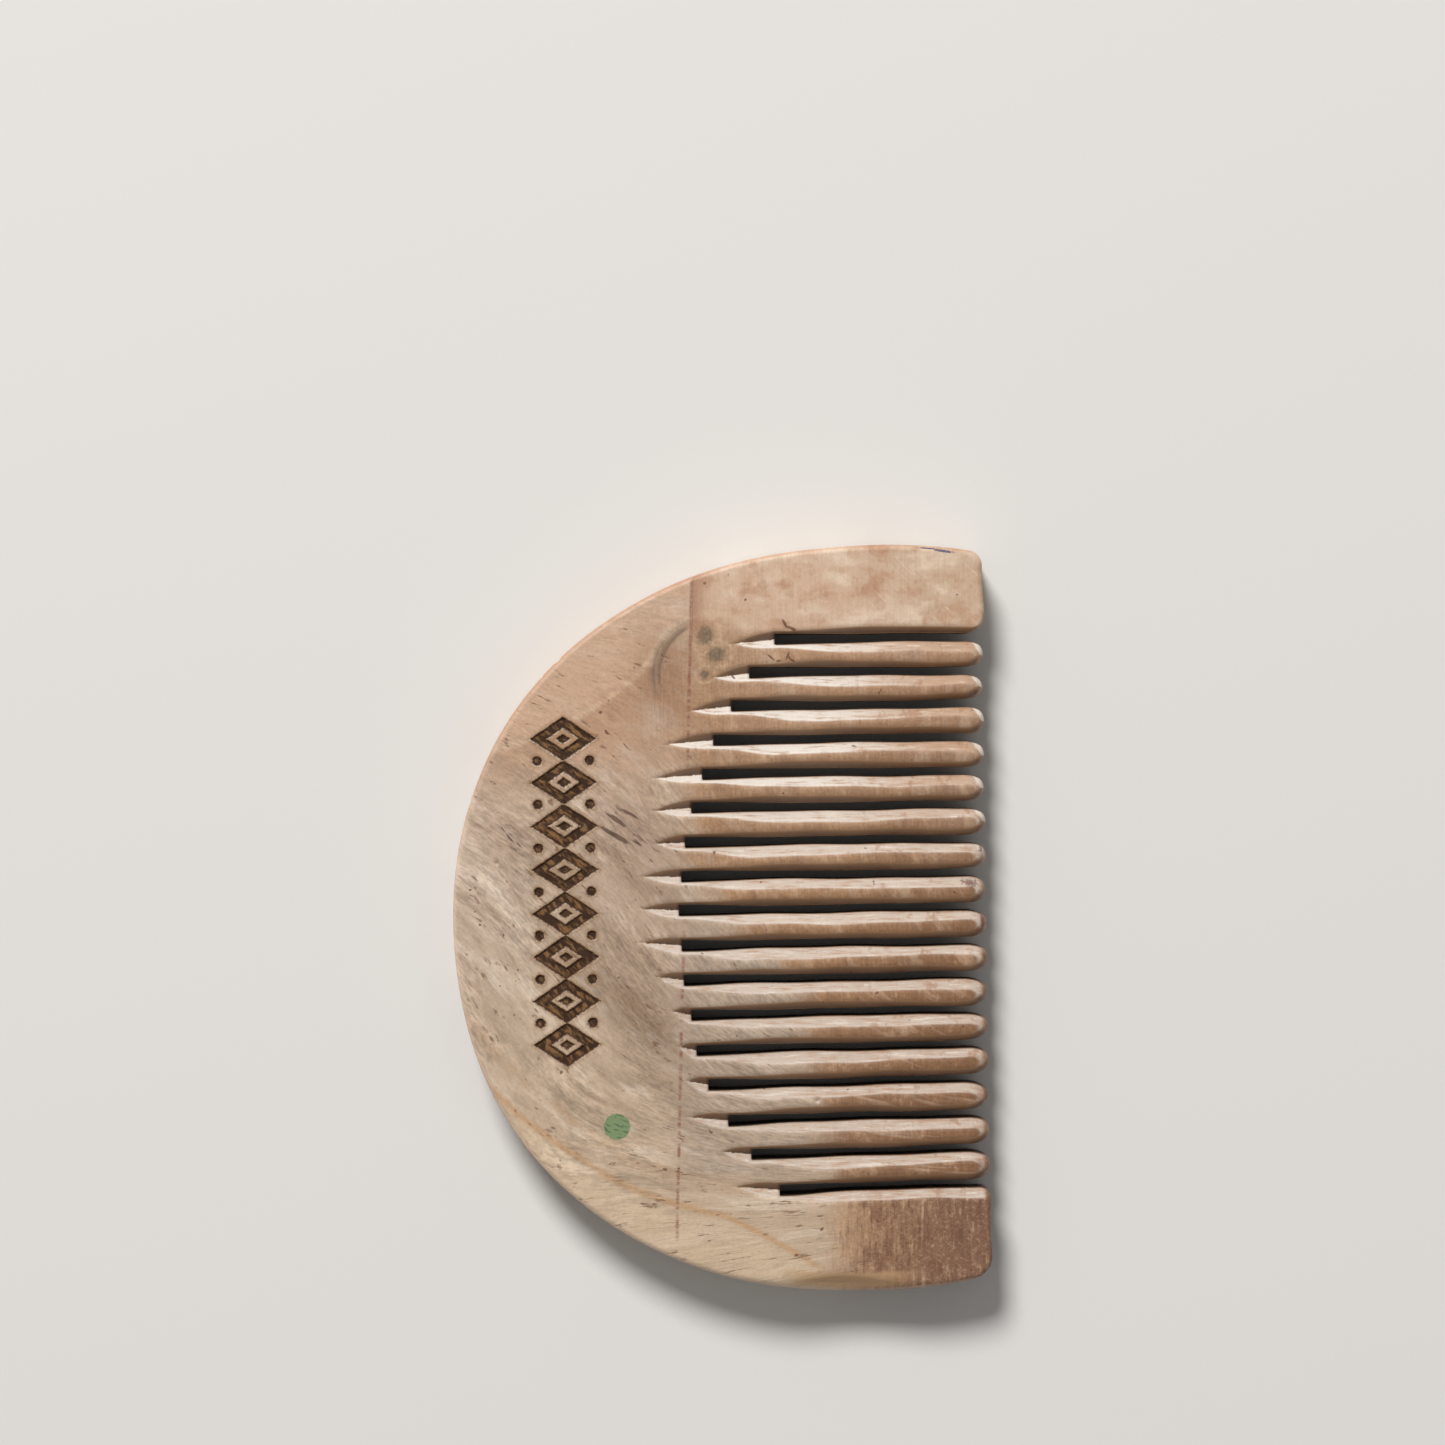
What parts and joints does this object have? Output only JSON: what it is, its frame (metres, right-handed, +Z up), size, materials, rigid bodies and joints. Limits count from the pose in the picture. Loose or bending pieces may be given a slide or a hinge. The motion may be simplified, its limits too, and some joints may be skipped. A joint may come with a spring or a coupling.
{
  "type": "beard comb",
  "caption": "Pocket-size D-shaped wooden beard comb with a rounded back, bevelled sawn teeth and a wide guard at each end of the row.",
  "frame": {"origin": "middle of the footprint, at the height of the underside", "axes": "+X from the rounded back to the tooth tips, +Y along the row of teeth towards the upper guard, +Z up out of the face that carries the ornament"},
  "size_m": [0.0717, 0.1001, 0.009],
  "materials": {
    "back_wood": "sanded bare wood, matt, with visible pores and grain",
    "guard_wood": "sanded bare wood, matt, with fine cross scratches",
    "tooth_wood": "hand filed bare wood, matt, paler on the bevels"
  },
  "bodies": {
    "root": {"comb_back": "back_wood", "end_guard_upper": "guard_wood", "end_guard_lower": "guard_wood", "tooth_01": "tooth_wood", "tooth_02": "tooth_wood", "tooth_03": "tooth_wood", "tooth_04": "tooth_wood", "tooth_05": "tooth_wood", "tooth_06": "tooth_wood", "tooth_07": "tooth_wood", "tooth_08": "tooth_wood", "tooth_09": "tooth_wood", "tooth_10": "tooth_wood", "tooth_11": "tooth_wood", "tooth_12": "tooth_wood", "tooth_13": "tooth_wood", "tooth_14": "tooth_wood", "tooth_15": "tooth_wood", "tooth_16": "tooth_wood"}
  },
  "joints": []
}
